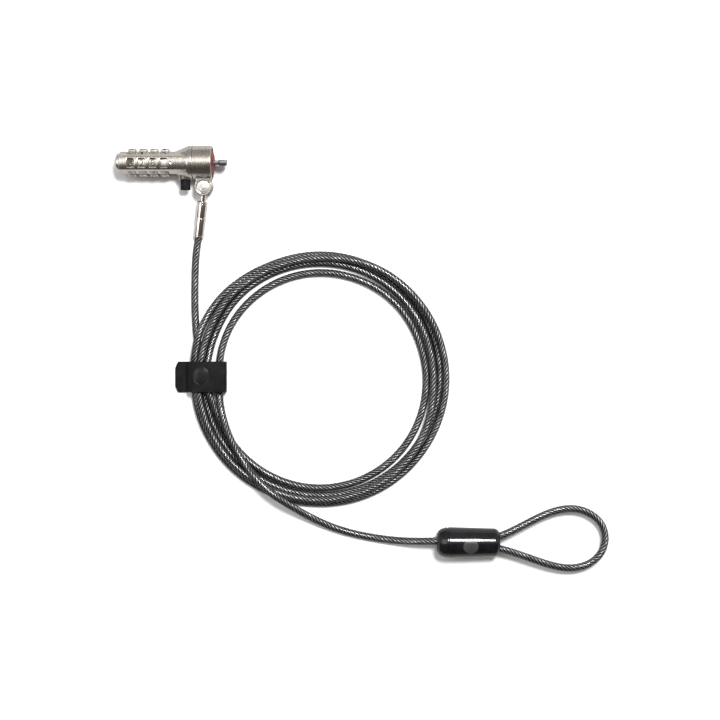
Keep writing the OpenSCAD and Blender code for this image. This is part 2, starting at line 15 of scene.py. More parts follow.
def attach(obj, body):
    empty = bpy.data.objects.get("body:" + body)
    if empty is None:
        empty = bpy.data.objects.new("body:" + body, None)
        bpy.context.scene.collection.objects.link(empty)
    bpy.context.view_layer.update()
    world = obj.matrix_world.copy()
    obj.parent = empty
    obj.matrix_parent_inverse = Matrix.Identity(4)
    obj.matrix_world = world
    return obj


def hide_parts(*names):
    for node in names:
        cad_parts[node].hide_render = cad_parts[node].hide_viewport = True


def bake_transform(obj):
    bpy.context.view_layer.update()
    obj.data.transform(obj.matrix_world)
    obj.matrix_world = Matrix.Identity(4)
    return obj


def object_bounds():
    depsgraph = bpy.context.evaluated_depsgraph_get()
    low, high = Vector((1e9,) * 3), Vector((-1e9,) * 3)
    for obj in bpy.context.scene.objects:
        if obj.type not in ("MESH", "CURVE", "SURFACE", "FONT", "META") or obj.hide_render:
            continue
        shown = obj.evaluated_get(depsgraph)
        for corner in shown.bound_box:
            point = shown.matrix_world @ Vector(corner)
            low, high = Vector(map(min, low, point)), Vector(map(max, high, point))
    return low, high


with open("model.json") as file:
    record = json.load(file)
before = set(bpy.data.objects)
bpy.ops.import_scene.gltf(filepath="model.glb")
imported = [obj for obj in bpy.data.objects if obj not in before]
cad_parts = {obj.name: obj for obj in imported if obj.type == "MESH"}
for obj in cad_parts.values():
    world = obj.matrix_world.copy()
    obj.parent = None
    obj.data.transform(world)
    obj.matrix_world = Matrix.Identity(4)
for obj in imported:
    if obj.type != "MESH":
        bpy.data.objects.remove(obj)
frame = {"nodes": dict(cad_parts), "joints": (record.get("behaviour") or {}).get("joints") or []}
cad_low, cad_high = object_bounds()

MM = 0.001
JOINTS = {joint["name"]: joint for joint in frame["joints"]}


# ---------------------------------------------------------------- frames

def basis(x, y, z, origin):
    """The matrix from millimetres along the axes x, y and z to metres in the row frame."""
    turn = Matrix((x, y, z)).transposed().to_4x4()
    return Matrix.Translation(origin) @ turn @ Matrix.Scale(MM, 4)


X_AXIS = Vector((1, 0, 0))
head_y = Vector(JOINTS["button_press"]["axis"]).normalized()
head_z = X_AXIS.cross(head_y)
neck_z = Vector(JOINTS["ferrule_swivel"]["axis"]).normalized()
pin_place = Vector(JOINTS["neck_fold"]["pos_m"])
hinge_place = Vector(JOINTS["strap_open"]["pos_m"]) / MM

HEAD = basis(X_AXIS, head_y, head_z, Vector((0, 0, 0)))
NECK = basis(head_z.cross(neck_z), head_z, neck_z, pin_place)
TABLE = Matrix.Scale(MM, 4)
# turns a solid of revolution drawn about Z so that it lies along X
LYING = Matrix.Rotation(math.radians(90), 4, "Y")


def extent(node, place):
    """Lowest and highest corner of a CAD node, in the millimetres of the frame called place."""
    back = place.inverted()
    points = [back @ v.co for v in frame["nodes"][node].data.vertices]
    return [Vector([pick(p[k] for p in points) for k in range(3)]) for pick in (min, max)]


# ---------------------------------------------------------------- mesh tools

def as_object(name, bm):
    """A new object that holds the bmesh, which is used up."""
    mesh = bpy.data.meshes.new(name)
    bm.normal_update()
    bm.to_mesh(mesh)
    bm.free()
    thing = bpy.data.objects.new(name, mesh)
    bpy.context.scene.collection.objects.link(thing)
    return thing


def applied(thing):
    """The same object with its modifiers turned into mesh."""
    bpy.context.view_layer.update()
    graph = bpy.context.evaluated_depsgraph_get()
    mesh = bpy.data.meshes.new_from_object(thing.evaluated_get(graph))
    thing.modifiers.clear()
    thing.data = mesh
    return thing


def combine(thing, *others, operation="DIFFERENCE"):
    """Cuts the others out of thing, or joins them to it, and removes them."""
    for other in others:
        change = thing.modifiers.new("combine", "BOOLEAN")
        change.object = other
        change.operation = operation
        change.solver = "EXACT"
        change.material_mode = "TRANSFER"
        applied(thing)
        bpy.data.objects.remove(other)
    return thing


def fillet(points, radius, closed=False, steps=4):
    """An outline whose corners are rounded. A point may carry its own radius as a third value."""
    out = []
    count = len(points)
    for i, point in enumerate(points):
        corner = Vector(point[:2])
        bend = point[2] if len(point) > 2 else radius
        if bend <= 0 or (not closed and i in (0, count - 1)):
            out.append(corner)
            continue
        before = Vector(points[i - 1][:2]) - corner
        after = Vector(points[(i + 1) % count][:2]) - corner
        half = before.angle(after) / 2
        back = min(bend / math.tan(half), 0.48 * before.length, 0.48 * after.length)
        start, stop = corner + before.normalized() * back, corner + after.normalized() * back
        for k in range(steps + 1):
            s = k / steps
            out.append((1 - s) ** 2 * start + 2 * s * (1 - s) * corner + s * s * stop)
    return out


def turned(name, profile, radius=0.12, hollow=False, segments=96, steps=4):
    """A solid of revolution about Z from (z, r) points. A hollow one is a ring with a bore."""
    line = fillet(profile, radius, closed=hollow, steps=steps)
    bm = bmesh.new()
    rings = []
    for z, r in line:
        if r < 1e-6:
            rings.append([bm.verts.new((0, 0, z))])
        else:
            rings.append([bm.verts.new((r * math.cos(a), r * math.sin(a), z))
                          for a in [2 * math.pi * k / segments for k in range(segments)]])
    pairs = list(zip(rings, rings[1:] + rings[:1])) if hollow else list(zip(rings, rings[1:]))
    for low, high in pairs:
        for k in range(segments):
            j = (k + 1) % segments
            if len(low) == 1:
                bm.faces.new((low[0], high[j], high[k]))
            elif len(high) == 1:
                bm.faces.new((low[k], low[j], high[0]))
            else:
                bm.faces.new((low[k], low[j], high[j], high[k]))
    bmesh.ops.recalc_face_normals(bm, faces=bm.faces)
    return as_object(name, bm)


def block(name, low, high, grow=0.0):
    """A box between two corners. With grow, its top is that much wider on every side."""
    bm = bmesh.new()
    corners = []
    for i in range(8):
        far = [bool(i & 1), bool(i & 2), bool(i & 4)]
        place = [high[k] if far[k] else low[k] for k in range(3)]
        if far[2]:
            for k in range(2):
                place[k] += grow if far[k] else -grow
        corners.append(bm.verts.new(place))
    for quad in ((0, 2, 3, 1), (4, 5, 7, 6), (0, 1, 5, 4), (2, 6, 7, 3), (0, 4, 6, 2),
                 (1, 3, 7, 5)):
        bm.faces.new([corners[i] for i in quad])
    bmesh.ops.recalc_face_normals(bm, faces=bm.faces)
    return as_object(name, bm)


def lofted(name, outlines):
    """A solid through closed outlines that have the same number of points, end to end."""
    bm = bmesh.new()
    rings = [[bm.verts.new(point) for point in outline] for outline in outlines]
    for a, b in zip(rings, rings[1:]):
        for k in range(len(a)):
            j = (k + 1) % len(a)
            bm.faces.new((a[k], a[j], b[j], b[k]))
    bm.faces.new(rings[0])
    bm.faces.new(rings[-1])
    bmesh.ops.recalc_face_normals(bm, faces=bm.faces)
    return as_object(name, bm)


def moved(thing, matrix):
    """The same object with its mesh transformed."""
    thing.data.transform(matrix)
    return thing


def copy_of(node, place):
    """A welded copy of a CAD node, in the millimetres of the frame called place."""
    bm = bmesh.new()
    bm.from_mesh(frame["nodes"][node].data)
    bmesh.ops.remove_doubles(bm, verts=bm.verts, dist=1e-6)
    bmesh.ops.transform(bm, matrix=place.inverted(), verts=bm.verts)
    return as_object(node + "_copy", bm)


def cast(thing, voxel, faces, relax=3):
    """Rounds every edge of a solid as a casting is rounded, and keeps about that many faces."""
    remesh = thing.modifiers.new("remesh", "REMESH")
    remesh.mode = "VOXEL"
    remesh.voxel_size = voxel
    smooth = thing.modifiers.new("smooth", "SMOOTH")
    smooth.factor = 0.5
    smooth.iterations = relax
    applied(thing)
    if faces < 2 * len(thing.data.polygons):
        thin = thing.modifiers.new("thin", "DECIMATE")
        thin.ratio = faces / (2 * len(thing.data.polygons))
        applied(thing)
    return thing


def finished(thing, name, place, body, material, nodes=(), sharp=40, weighted=False):
    """Places a piece, gives it its finish and lets it ride on a body in place of CAD nodes. With
    no material it keeps its own, and with no body it rides on nothing."""
    thing.name = name
    thing.data.name = name
    thing.data.transform(place)
    thing.data.shade_smooth()
    if sharp:
        thing.data.set_sharp_from_angle(angle=math.radians(sharp))
    if material is not None:
        thing.data.materials.clear()
        thing.data.materials.append(material)
        thing.data.polygons.foreach_set("material_index", [0] * len(thing.data.polygons))
    if weighted:
        even = thing.modifiers.new("even", "WEIGHTED_NORMAL")
        even.keep_sharp = True
    if body:
        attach(thing, body)
    if nodes:
        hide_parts(*nodes)
    return thing


# ---------------------------------------------------------------- materials

# a mix node's sockets when it mixes colours
MIX_FACTOR, MIX_A, MIX_B, MIX_RESULT = 0, 6, 7, 2


class Graph:
    """One material's node tree. Lengths are in metres, as the objects are."""

    def __init__(self, name):
        self.material = bpy.data.materials.new(name)
        self.material.use_nodes = True
        self.tree = self.material.node_tree
        self.shader = self.tree.nodes["Principled BSDF"]
        self.output = self.tree.nodes["Material Output"]
        self.place = self.add("ShaderNodeTexCoord").outputs["Object"]

    def add(self, kind, inputs=(), **settings):
        node = self.tree.nodes.new(kind)
        for key, value in settings.items():
            setattr(node, key, value)
        for key, value in dict(inputs).items():
            self.feed(node.inputs[key], value)
        return node

    def feed(self, socket, value):
        if isinstance(value, bpy.types.NodeSocket):
            self.tree.links.new(value, socket)
        else:
            socket.default_value = value

    def set(self, **values):
        """Feeds the main shader: base_color=... goes to its Base Color."""
        for key, value in values.items():
            name = key.replace("_", " ").title().replace("Ior", "IOR")
            self.feed(self.shader.inputs[name], value)

    def noise(self, size, detail, stretch=(1, 1, 1), low=0.35, high=0.65):
        """A 0 to 1 pattern with features of about this size in millimetres, longer where
        stretch is above 1."""
        mapping = self.add("ShaderNodeMapping", {
            "Vector": self.place, "Scale": [1 / s for s in stretch]})
        pattern = self.add("ShaderNodeTexNoise", {
            "Vector": mapping.outputs[0], "Scale": 1 / (size * MM), "Detail": detail})
        return self.spread(pattern.outputs["Fac"], low, high)

    def spread(self, value, low, high, to_low=0.0, to_high=1.0):
        """The value carried from one range to another, and held at that range's ends."""
        node = self.add("ShaderNodeMapRange", {
            "Value": value, "From Min": low, "From Max": high, "To Min": to_low,
            "To Max": to_high})
        return node.outputs["Result"]

    def math(self, operation, a, b=0.0):
        return self.add("ShaderNodeMath", {0: a, 1: b}, operation=operation).outputs[0]

    def mix(self, factor, a, b):
        node = self.add("ShaderNodeMix", data_type="RGBA")
        for index, value in ((MIX_FACTOR, factor), (MIX_A, a), (MIX_B, b)):
            self.feed(node.inputs[index], (*value, 1) if isinstance(value, tuple) else value)
        return node.outputs[MIX_RESULT]

    def bump(self, height, depth, under=None):
        """Raises the surface by up to depth millimetres."""
        node = self.add("ShaderNodeBump", {"Height": height, "Distance": depth * MM})
        if under is not None:
            self.feed(node.inputs["Normal"], under)
        return node.outputs[0]

    def edges(self, low=0.52, high=0.6):
        """1 along convex edges, where handling wears a finish."""
        return self.spread(self.add("ShaderNodeNewGeometry").outputs["Pointiness"], low, high)


def metal(name, dark, light, rough, grain=1.6, streak=(1, 1, 1), streak_depth=0.006,
          pit_depth=0.004, worn=0.3, scratches=0.35, hollow_shade=0.3):
    """Plated or bare metal with cloudy colour, brushing, fine pits, scratches, worn edges and
    painted shade in its hollows. streak stretches the brushing along the axes that the tool moved
    along."""
    g = Graph(name)
    cloud = g.noise(6, detail=5)
    fine = g.noise(grain * 0.25, detail=3)
    brush = g.noise(grain * 0.16, detail=6, stretch=streak)
    scratch = g.noise(0.5, detail=2, stretch=(14, 1.1, 6), low=0.66, high=0.72)
    other = g.noise(0.45, detail=2, stretch=(1.2, 16, 5), low=0.67, high=0.73)
    marks = g.math("MULTIPLY", g.math("MAXIMUM", scratch, other), scratches)
    colour = g.mix(cloud, dark, light)
    brushed = g.mix(g.math("MULTIPLY", brush, 0.35), colour, tuple(0.72 * c for c in dark))
    bright = tuple(min(1.0, 1.22 * c) for c in light)
    worn_colour = g.mix(g.math("MULTIPLY", g.edges(), worn), brushed, bright)
    # painted shade: the base colour darkens in the hollows, where shade would fall
    hollows = g.math("MULTIPLY", g.edges(0.49, 0.43), hollow_shade)
    g.set(base_color=g.mix(hollows, worn_colour, tuple(0.15 * c for c in dark)), metallic=1.0)
    spread = g.spread(fine, 0, 1, rough[0], rough[1])
    g.set(roughness=g.math("ADD", spread, g.math("MULTIPLY", marks, 0.18)))
    pits = g.bump(g.noise(grain * 0.2, detail=2, low=0.3, high=0.7), pit_depth)
    lines = g.bump(brush, streak_depth, under=pits)
    g.set(normal=g.bump(g.math("SUBTRACT", 1.0, marks), 0.004, under=lines))
    return g.material


def plastic(name, dark, light, rough, grain=0.35, depth=0.01, specular=0.5, peel=0.0, worn=0.25,
            worn_tint=(0.25, 0.25, 0.25)):
    """Moulded plastic or rubber with mottled colour, grain, handling marks and dusty edges. A
    peel above 0 adds the soft waves of a glossy skin, that many millimetres deep."""
    g = Graph(name)
    cloud = g.noise(4.5, detail=6)
    fine = g.noise(grain, detail=3)
    smear = g.noise(3.0, detail=3, stretch=(2.5, 1, 1), low=0.5, high=0.75)
    colour = g.mix(cloud, dark, light)
    g.set(base_color=g.mix(g.math("MULTIPLY", g.edges(), worn), colour, worn_tint))
    g.set(metallic=0.0, specular_ior_level=specular)
    spread = g.spread(fine, 0, 1, rough[0], rough[1])
    g.set(roughness=g.math("ADD", spread, g.math("MULTIPLY", smear, 0.08)))
    normal = g.bump(fine, depth)
    if peel:
        normal = g.bump(g.noise(1.4, detail=1), peel, under=normal)
    g.set(normal=normal)
    return g.material


NICKEL_DARK, NICKEL_LIGHT = (0.50, 0.46, 0.41), (0.62, 0.58, 0.53)
MAT = {
    # brushed round the head's axis, so the streaks run across X
    "collar": metal("nickel_turned", NICKEL_DARK, NICKEL_LIGHT, (0.2, 0.3),
                    grain=1.0, streak=(0.9, 14, 14), streak_depth=0.006),
    "body": metal("nickel_cast", NICKEL_DARK, NICKEL_LIGHT, (0.2, 0.3),
                  streak=(2.2, 1.4, 1.4), streak_depth=0.005, pit_depth=0.006, worn=0.4),
    "dial": metal("nickel_dial", (0.56, 0.53, 0.48), (0.68, 0.65, 0.60), (0.36, 0.46),
                  streak=(0.8, 8, 8), worn=0.35),
    "knob": metal("nickel_knob", (0.64, 0.63, 0.61), (0.76, 0.75, 0.73), (0.3, 0.4),
                  streak=(1, 6, 6)),
    # strong painted shade in the grooves of the pin's turned rings
    "medallion": metal("nickel_struck", (0.60, 0.58, 0.55), (0.76, 0.74, 0.71), (0.28, 0.4),
                       grain=1.2, scratches=0.6, hollow_shade=0.9),
    "bright": metal("nickel_polished", (0.72, 0.69, 0.65), (0.84, 0.81, 0.77), (0.07, 0.15),
                    streak=(7, 1, 7), streak_depth=0.002, pit_depth=0.001, scratches=0.5),
    "dark_steel": metal("steel_blackened", (0.10, 0.10, 0.105), (0.19, 0.19, 0.195), (0.3, 0.46),
                        streak=(6, 1, 1), worn=0.7),
    "spring": metal("steel_spring", (0.42, 0.42, 0.42), (0.6, 0.6, 0.6), (0.22, 0.34),
                    streak=(4, 1, 1)),
    "brass": metal("brass_turned", (0.62, 0.47, 0.2), (0.78, 0.62, 0.32), (0.22, 0.36),
                   streak=(0.9, 10, 10)),
    "aluminium": metal("aluminium_pressed", (0.52, 0.52, 0.54), (0.68, 0.68, 0.7), (0.3, 0.44),
                       streak=(8, 1, 1)),
    "button": plastic("plastic_button", (0.006, 0.006, 0.007), (0.012, 0.012, 0.014),
                      (0.45, 0.58), grain=0.25, depth=0.008, specular=0.07, worn=0.03),
    "red": plastic("pad_red", (0.12, 0.024, 0.029), (0.19, 0.045, 0.05), (0.36, 0.5),
                   grain=0.3, depth=0.012, specular=0.25, worn_tint=(0.4, 0.2, 0.2)),
    "seal": plastic("rubber_seal", (0.012, 0.012, 0.012), (0.024, 0.024, 0.024), (0.5, 0.66)),
    "gloss": plastic("plastic_gloss_black", (0.004, 0.004, 0.005), (0.009, 0.009, 0.011),
                     (0.07, 0.15), grain=0.6, depth=0.0015, specular=0.4, peel=0.003, worn=0.05),
    "badge": plastic("plastic_badge", (0.005, 0.005, 0.006), (0.01, 0.01, 0.011),
                     (0.16, 0.26), grain=0.3, depth=0.003, specular=0.2, worn=0.04),
    "rubber": plastic("rubber_strap", (0.006, 0.006, 0.006), (0.012, 0.012, 0.0125), (0.5, 0.66),
                      grain=0.3, depth=0.02, specular=0.06, worn=0.15,
                      worn_tint=(0.05, 0.05, 0.05)),
    "print": plastic("print_grey", (0.022, 0.022, 0.023), (0.04, 0.04, 0.042), (0.2, 0.3),
                     grain=0.5, depth=0.002, worn=0.1),
    "ink": plastic("paint_digits", (0.01, 0.01, 0.01), (0.03, 0.028, 0.025), (0.45, 0.6)),
}


def rope_material():
    """Drawn steel wires: fine darker lines between the wires along each strand, and near black
    between the strands, both painted shade.
    The mesh's UV holds the place across its strand and the length along it in metres."""
    g = Graph("steel_rope")
    wires_per_strand, wire_lay = 3.0, 0.009
    across, along = g.add("ShaderNodeSeparateXYZ", {
        0: g.add("ShaderNodeUVMap", uv_map="strand").outputs[0]}).outputs[:2]
    turn = g.math("ADD", g.math("MULTIPLY", across, wires_per_strand),
                  g.math("DIVIDE", along, wire_lay))
    wire = g.math("ABSOLUTE", g.math("SINE", g.math("MULTIPLY", turn, math.pi)))
    crown = g.math("SINE", g.math("MULTIPLY", across, math.pi))
    cloud = g.noise(7, detail=5)
    steel = g.mix(cloud, (0.31, 0.31, 0.315), (0.48, 0.48, 0.485))
    # painted shade: only the strands' crowns keep the steel colour, the gaps between strands go
    # near black and the lines between wires a little darker
    unshaded_crown = g.math("MULTIPLY", g.spread(crown, 0.55, 0.95), g.spread(wire, 0.0, 0.5, 0.7, 1.0))
    g.set(base_color=g.mix(unshaded_crown, (0.006, 0.006, 0.007), steel))
    g.set(metallic=g.spread(unshaded_crown, 0.0, 0.4, 0.3, 1.0))
    g.set(roughness=g.spread(g.noise(0.3, detail=3), 0, 1, 0.3, 0.44))
    g.set(specular_ior_level=0.15, normal=g.bump(wire, 0.04))
    return g.material


def jacket_material():
    """Clear smoky PVC: see-through, a little hazy, with a soft wavy highlight."""
    g = Graph("pvc_jacket")
    waves = g.bump(g.noise(2.2, detail=2), 0.03)
    skin = g.bump(g.noise(0.35, detail=2), 0.006, under=waves)
    clear = g.add("ShaderNodeBsdfTransparent", {"Color": (0.74, 0.745, 0.75, 1)})
    haze = g.add("ShaderNodeBsdfDiffuse", {"Normal": skin, "Color": g.mix(
        g.noise(5, detail=4), (0.05, 0.051, 0.054), (0.10, 0.102, 0.106))})
    gloss = g.add("ShaderNodeBsdfGlossy", {
        "Normal": skin, "Roughness": g.spread(g.noise(0.8, detail=3), 0, 1, 0.09, 0.16)})
    fresnel = g.math("MINIMUM", g.add("ShaderNodeFresnel", {
        "IOR": 1.5, "Normal": skin}).outputs[0], 0.022)
    body = g.add("ShaderNodeMixShader", {0: 0.06, 1: clear.outputs[0], 2: haze.outputs[0]})
    skinned = g.add("ShaderNodeMixShader", {
        0: fresnel, 1: body.outputs[0], 2: gloss.outputs[0]})
    g.feed(g.output.inputs["Surface"], skinned.outputs[0])
    g.tree.nodes.remove(g.shader)
    return g.material


MAT["rope"] = rope_material()
MAT["jacket"] = jacket_material()


def repaint(node, material):
    """Gives a CAD node that stays on show its finish."""
    mesh = frame["nodes"][node].data
    mesh.materials.clear()
    mesh.materials.append(material)
    mesh.shade_smooth()
    mesh.set_sharp_from_angle(angle=math.radians(30))


# ---------------------------------------------------------------- lock head

DIALS = ["dial_1", "dial_2", "dial_3", "dial_4"]
SHOWN = [6, 2, 8, 3]
# one numeral's share of a dial's turn
TENTH = math.pi / 5


def dial_places():
    """The middle of each dial along the head's axis."""
    return [sum((corner.x for corner in extent(dial, HEAD)), 0.0) / 2 for dial in DIALS]


def lock_body():
    """The zinc casting, with its window mouths flared and its edges rounded."""
    body = copy_of("lock_body", HEAD)
    top = extent("lock_body", HEAD)[1].z - 0.1
    half_x, half_y, flare = 1.6, 2.15, 0.4
    for x in dial_places():
        mouth = block("mouth", (x - half_x, -half_y, top - flare), (x + half_x, half_y, top + 0.1),
                      grow=flare + 0.1)
        combine(body, mouth)
    cast(body, voxel=0.19, faces=90000)
    finished(body, "lock_body_casting", HEAD, "head", MAT["body"],
             ["lock_body"], sharp=0, weighted=True)


def digit_solid(text, radius, angle):
    """A numeral as a solid wrapped on a dial of that radius, centred at an angle from the top."""
    tall, wide, sink, stand = 2.85, 2.3, 0.3, 0.3
    curve = bpy.data.curves.new("digit", "FONT")
    curve.body = text
    curve.resolution_u = 3
    curve.extrude = 0.5
    thing = bpy.data.objects.new("digit", curve)
    bpy.context.scene.collection.objects.link(thing)
    bpy.context.view_layer.update()
    mesh = bpy.data.meshes.new_from_object(
        thing.evaluated_get(bpy.context.evaluated_depsgraph_get()))
    bpy.data.objects.remove(thing)
    bm = bmesh.new()
    bm.from_mesh(mesh)
    bmesh.ops.remove_doubles(bm, verts=bm.verts, dist=1e-5)
    long = [e for e in bm.edges if abs(e.verts[0].co.z - e.verts[1].co.z) < 0.1
            and e.calc_length() > 0.25]
    bmesh.ops.subdivide_edges(bm, edges=long, cuts=2)
    bmesh.ops.triangulate(bm, faces=bm.faces)
    low = Vector([min(v.co[k] for v in bm.verts) for k in range(3)])
    high = Vector([max(v.co[k] for v in bm.verts) for k in range(3)])
    for v in bm.verts:
        across = ((v.co.x - low.x) / (high.x - low.x) - 0.5)
        across *= wide if high.x - low.x > 0.3 else 0.5 * wide
        up = ((v.co.y - low.y) / (high.y - low.y) - 0.5) * tall / radius
        r = radius + (stand if v.co.z > 0 else -sink)
        v.co = Vector((across, r * math.sin(angle + up), r * math.cos(angle + up)))
    bmesh.ops.recalc_face_normals(bm, faces=bm.faces)
    solid = as_object("digit", bm)
    solid.data.materials.append(MAT["ink"])
    return solid


def dial_mesh(radius, width):
    """One number dial about X, with ten finger scallops and ten engraved, painted numerals. Its
    bore is wider behind the code wheel, which slides back there when the code is changed."""
    bore, wide_bore, step_x, chamfer = 4.95, 5.75, 0.4, 0.1
    lip, lip_steps, scallop_r, scallop_out = 0.22, 3, 0.9, 0.55
    around = 240
    stations = [(-width / 2 + lip * (1 - math.cos(math.pi / 2 * k / lip_steps)),
                 lip * (1 - math.sin(math.pi / 2 * k / lip_steps))) for k in range(lip_steps + 1)]
    stations += [(-x, drop) for x, drop in reversed(stations)]
    bm = bmesh.new()

    def outer(angle):
        turn = (angle - TENTH / 2) % TENTH
        off = min(turn, TENTH - turn)
        centre = radius + scallop_out
        reach = scallop_r ** 2 - (centre * math.sin(off)) ** 2
        dip = centre * math.cos(off) - math.sqrt(reach) if reach > 0 else radius
        return min(radius, dip)

    rings = []
    for x, drop in stations:
        rings.append([bm.verts.new((x, (outer(a) - drop) * math.sin(a),
                                    (outer(a) - drop) * math.cos(a)))
                      for a in [2 * math.pi * k / around for k in range(around)]])
    half = width / 2
    for x, r in ((half, bore + chamfer), (half - chamfer, bore), (step_x, bore),
                 (step_x, wide_bore), (chamfer - half, wide_bore), (-half, wide_bore + chamfer)):
        rings.append([bm.verts.new((x, r * math.sin(a), r * math.cos(a)))
                      for a in [2 * math.pi * k / around for k in range(around)]])
    for low, high in zip(rings, rings[1:] + rings[:1]):
        for k in range(around):
            j = (k + 1) % around
            bm.faces.new((low[k], low[j], high[j], high[k]))
    bmesh.ops.recalc_face_normals(bm, faces=bm.faces)
    ring = as_object("dial", bm)
    ring.data.materials.append(MAT["dial"])
    digits = [digit_solid(str(k), radius, -k * TENTH) for k in range(10)]
    return combine(ring, *digits)


def dials():
    low, high = extent(DIALS[0], HEAD)
    first = dial_mesh(high.z, high.x - low.x)
    for dial, x, shown in zip(DIALS, dial_places(), SHOWN):
        piece = first.copy()
        piece.data = first.data.copy()
        bpy.context.scene.collection.objects.link(piece)
        moved(piece, Matrix.Rotation(-shown * TENTH, 4, "X"))
        combine(piece, block("notch", (0.3, -0.65, -5.7), (3, 0.65, -4)))
        moved(piece, Matrix.Translation((x, 0, 0)))
        finished(piece, dial + "_engraved", HEAD, dial + "_ring", None, [dial],
                 sharp=35)
    bpy.data.objects.remove(first)


def reset_knob():
    """The domed setting knob, with a coin slot across its end and a small hole in its rim."""
    low, high = extent("reset_knob", HEAD)
    tip, rim = low.x, high.z
    profile = [(tip, 0), (tip + 0.05, 2.4, 2.5), (tip + 1.1, rim - 0.25, 1.6),
               (-45.9, rim, 0.3), (-45.75, rim - 0.12, 0.05), (-45.6, rim, 0.05),
               (-45.1, rim, 0.25), (-45.1, 1.6, 0.1), (-43.2, 1.6, 0.05), (-43.2, 2.1, 0.05),
               (-43.0, 2.1, 0.05), (-43.0, 1.3, 0.05), (high.x, 1.3, 0.2), (high.x, 0)]
    knob = moved(turned("knob", profile, steps=6), LYING)
    slot = block("slot", (tip - 1, -0.45, -6), (-47.2, 0.45, 6))
    hole = moved(turned("hole", [(0, 0), (0, 0.45), (6, 0.45), (6, 0)], 0, segments=32),
                 Matrix.Translation((-46.7, -1.2, 0)))
    combine(knob, slot, hole)
    finished(knob, "reset_knob_turned", HEAD, "reset", MAT["knob"],
             ["reset_knob"])


def push_button():
    """The matt cap with a softly crowned end, on the rack arm that reaches into the head."""
    low, high = extent("push_button", HEAD)
    radius, tip, seat = 2.45, -low.y, 6.4
    centre_x = low.x + 3.65
    outer = turned("outer", [(seat, 0), (seat, radius, 0.15), (tip - 0.12, radius, 0.6),
                             (tip, 1.2, 1.6), (tip, 0)], steps=6)
    bore = turned("bore", [(seat - 1, 0), (seat - 1, 1.45), (12.1, 1.45, 0.1), (12.1, 0)], 0)
    combine(outer, bore)
    moved(outer, Matrix.Translation((centre_x, 0, 0)) @ Matrix.Rotation(math.pi / 2, 4, "X"))
    arm = copy_of("push_button", HEAD)
    keep = block("keep", (low.x - 1, -seat - 0.15, -8), (high.x + 1, high.y + 1, 8))
    combine(arm, keep, operation="INTERSECT")
    combine(outer, arm, operation="UNION")
    finished(outer, "push_button_moulded", HEAD, "button", MAT["button"],
             ["push_button"], sharp=32)


def front_parts():
    """The seal, the red pad, the guide plate and the T-bar at the front of the head."""
    seal = moved(turned("seal", [(-1.4, 6.15, 0.2), (-1.4, 7.45, 0.3), (-0.42, 7.45, 0.35),
                                 (-0.3, 6.8, 0.4), (-0.42, 6.15, 0.35)], hollow=True), LYING)
    finished(seal, "seal_ring_rubber", HEAD, "collar", MAT["seal"], ["seal_ring"])
    low, high = extent("face_pad", HEAD)
    pad = moved(turned("pad", [(low.x, 1.6, 0.1), (low.x, high.z, 0.15), (-0.1, high.z, 0.35),
                               (high.x - 0.12, 4.0, 1.6), (high.x, 2.4, 0.8),
                               (high.x, 1.6, 0.15)], hollow=True, steps=6), LYING)
    slot_from, slot_to = 1.65, 3.35
    for s in (-1, 1):
        z = sorted((s * slot_from, s * slot_to))
        combine(pad, block("slot", (low.x - 1, -1.2, z[0]), (high.x + 1, 1.2, z[1])))
    finished(pad, "face_pad_moulded", HEAD, "head", MAT["red"], ["face_pad"])
    plate = cast(copy_of("guide_plate", HEAD), voxel=0.1, faces=16000, relax=2)
    finished(plate, "guide_plate_milled", HEAD, "head", MAT["dark_steel"],
             ["guide_plate"], sharp=0, weighted=True)
    bar = cast(copy_of("t_bar", HEAD), voxel=0.1, faces=24000, relax=3)
    finished(bar, "t_bar_forged", HEAD, "t_bar_shaft", MAT["dark_steel"],
             ["t_bar"], sharp=0, weighted=True)


# ---------------------------------------------------------------- collar and neck

def collar():
    """The turned collar, with the two ears of its neck cast on."""
    ring = cast(copy_of("swivel_collar", HEAD), voxel=0.17, faces=60000)
    finished(ring, "swivel_collar_turned", HEAD, "collar", MAT["collar"],
             ["swivel_collar"], sharp=0, weighted=True)


def neck_pin():
    """The riveted pin: both heads are low domes with two turned rings."""
    pin = HEAD.inverted() @ pin_place
    top, rim, shaft = extent("neck_pin", HEAD)[1].z, 3.15, 1.15
    half = [(3.72, shaft, 0.05), (3.72, rim, 0.08), (4.12, rim, 0.1), (4.18, 2.75, 0.05),
            (4.1, 2.68, 0.05), (4.1, 2.52, 0.05), (4.22, 2.44, 0.05), (4.3, 1.55, 0.1),
            (4.22, 1.48, 0.05), (4.22, 1.34, 0.05), (4.34, 1.26, 0.05), (top, 0.6, 0.4)]
    profile = [(-top, 0)] + [(-z, r, b) for z, r, b in reversed(half)] + half + [(top, 0)]
    piece = moved(turned("pin", profile), Matrix.Translation((pin.x, pin.y, 0)))
    finished(piece, "neck_pin_riveted", HEAD, "collar", MAT["medallion"],
             ["neck_pin"])


def eye_stem():
    """The polished eye that turns on the pin, and the stem that the ferrule swivels on."""
    end = extent("eye_stem", NECK)[1].z
    stem = turned("stem", [(0, 0), (0, 1.5), (7.1, 1.5, 0.15), (7.1, 1.4, 0.05),
                           (10.5, 1.4, 0.05), (10.5, 1.9, 0.1), (end, 1.9, 0.2), (end, 0)])
    eye = moved(turned("eye", [(-1.65, 0), (-1.65, 3.3, 0.35), (1.65, 3.3, 0.35), (1.65, 0)],
                       steps=6), Matrix.Rotation(math.pi / 2, 4, "X"))
    combine(eye, stem, operation="UNION")
    hole = moved(turned("hole", [(-3, 0), (-3, 1.2), (3, 1.2), (3, 0)], 0, segments=64),
                 Matrix.Rotation(math.pi / 2, 4, "X"))
    combine(eye, hole)
    finished(eye, "eye_stem_polished", NECK, "swivel_eye", MAT["bright"],
             ["eye_stem"])


